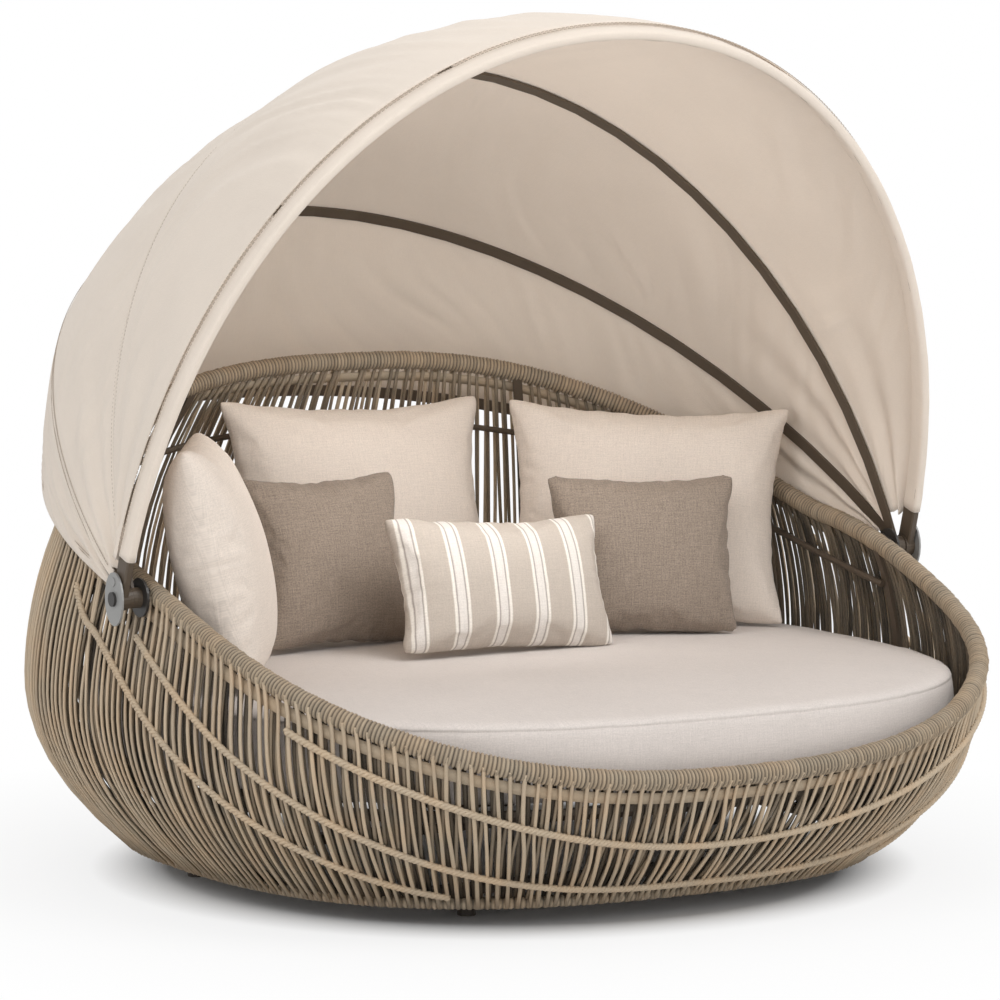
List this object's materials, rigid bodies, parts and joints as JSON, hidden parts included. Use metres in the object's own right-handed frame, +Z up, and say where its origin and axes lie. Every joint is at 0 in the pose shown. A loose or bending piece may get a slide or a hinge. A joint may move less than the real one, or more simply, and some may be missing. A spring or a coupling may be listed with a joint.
{
  "type": "outdoor daybed with folding canopy",
  "caption": "Woven egg-shaped outdoor daybed on a metal frame, with a round mattress, loose pillows and a fabric canopy on bows that folds back.",
  "frame": {"origin": "on the floor, under the middle of the whole at rest", "axes": "+Z up, the open side faces -Y, +X is the sitter's left; the canopy turns about the line between the two pivots, parallel to X"},
  "size_m": [1.8608, 1.9982, 1.7136],
  "materials": {
    "rim_wrap": "synthetic cord wound tightly round the rim tube",
    "wicker_cord": "taupe synthetic wicker cord, matte",
    "binding_rope": "twisted synthetic rope, matte",
    "frame": "dark brown powder coat, satin",
    "bow": "dark brown powder coat, satin",
    "leg": "dark brown powder coat, satin",
    "pivot_plate": "grey satin metal",
    "pivot_dark": "near-black brown powder coat, satin",
    "cream_fabric": "cream slubbed linen weave",
    "taupe_fabric": "taupe slubbed linen weave",
    "striped_fabric": "light taupe linen with pale woven stripes",
    "canopy_fabric": "light beige canopy cloth with a fine weave"
  },
  "bodies": {
    "nest": {"back_cushion_left": "cream_fabric", "back_cushion_right": "cream_fabric", "back_rail": "frame", "base_beam_back": "frame", "base_beam_front": "frame", "base_beam_middle": "frame", "base_ring": "frame", "binding_band_middle": "binding_rope", "binding_band_side_left": "binding_rope", "binding_band_side_right": "binding_rope", "binding_band_upper": "binding_rope", "canopy_rear_panel": "canopy_fabric", "leg_back_left": "leg", "leg_back_right": "leg", "leg_front_left": "leg", "leg_front_right": "leg", "leg_middle_left": "leg", "leg_middle_right": "leg", "mattress": "cream_fabric", "pivot_bolt_left": "pivot_dark", "pivot_bolt_right": "pivot_dark", "pivot_bracket_left": "pivot_dark", "pivot_bracket_right": "pivot_dark", "pivot_plate_left": "pivot_plate", "pivot_plate_right": "pivot_plate", "rear_bow": "bow", "rib_back_left": "frame", "rib_back_right": "frame", "rib_front_left": "frame", "rib_front_right": "frame", "rib_hinge_left": "frame", "rib_hinge_right": "frame", "rib_side_left": "frame", "rib_side_right": "frame", "rim_tube": "rim_wrap", "seat_ring": "frame", "seat_slat_1": "frame", "seat_slat_2": "frame", "seat_slat_3": "frame", "seat_slat_4": "frame", "seat_slat_5": "frame", "side_cushion": "cream_fabric", "striped_lumbar_pillow": "striped_fabric", "taupe_pillow_left": "taupe_fabric", "taupe_pillow_right": "taupe_fabric", "wall_weave_back": "wicker_cord", "wall_weave_back_left": "wicker_cord", "wall_weave_back_right": "wicker_cord", "wall_weave_front": "wicker_cord", "wall_weave_side_front_left": "wicker_cord", "wall_weave_side_front_right": "wicker_cord", "wall_weave_side_left": "wicker_cord", "wall_weave_side_right": "wicker_cord"},
    "middle_bow": {"middle_bow": "bow", "canopy_middle_panel": "canopy_fabric"},
    "upper_bow": {"upper_bow": "bow", "canopy_front_panel": "canopy_fabric"},
    "front_bow": {"front_bow": "bow", "canopy_front_sleeve": "canopy_fabric"}
  },
  "joints": [
    {"name": "middle_bow_fold", "type": "hinge", "parent": "nest", "child": "middle_bow", "pos_m": [0, -0.20799, 0.60562], "axis": [-1, 0, 0], "range_deg": [0, 11.3], "deforming": ["canopy_rear_panel"]},
    {"name": "upper_bow_fold", "type": "hinge", "parent": "middle_bow", "child": "upper_bow", "pos_m": [0, -0.20799, 0.60562], "axis": [-1, 0, 0], "range_deg": [0, 26.7], "deforming": ["canopy_middle_panel"]},
    {"name": "front_bow_fold", "type": "hinge", "parent": "upper_bow", "child": "front_bow", "pos_m": [0, -0.20799, 0.60562], "axis": [-1, 0, 0], "range_deg": [0, 36.2], "deforming": ["canopy_front_panel"]}
  ],
  "couplings": [
    {"joint": "middle_bow_fold", "follows": "front_bow_fold", "ratio": 0.31215},
    {"joint": "upper_bow_fold", "follows": "front_bow_fold", "ratio": 0.73757}
  ]
}
